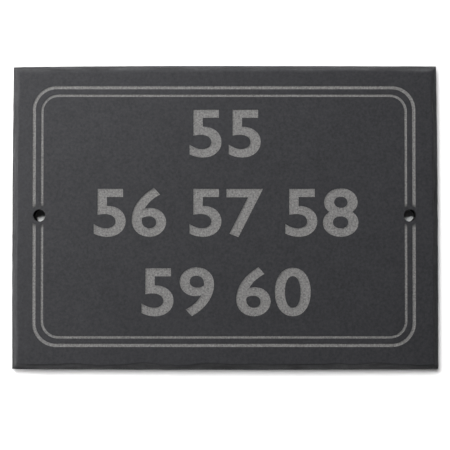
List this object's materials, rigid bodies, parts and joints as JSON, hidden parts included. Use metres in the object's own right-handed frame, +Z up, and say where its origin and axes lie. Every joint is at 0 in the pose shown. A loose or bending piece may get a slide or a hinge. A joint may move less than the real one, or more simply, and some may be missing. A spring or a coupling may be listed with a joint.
{
  "type": "house number plaque",
  "caption": "Flat slate plaque with bowed, bevelled edges, an engraved double border with rounded corners, and plain screw holes at the sides for fixing it to a wall.",
  "frame": {"origin": "on the wall face, midway between the two screw holes", "axes": "+X to the right seen from the front, +Y into the wall, +Z up; the engraved face looks along -Y"},
  "size_m": [0.2101, 0.007, 0.15],
  "materials": {
    "slate": "honed"
  },
  "bodies": {
    "root": {"slate_plaque": "slate"}
  },
  "joints": []
}
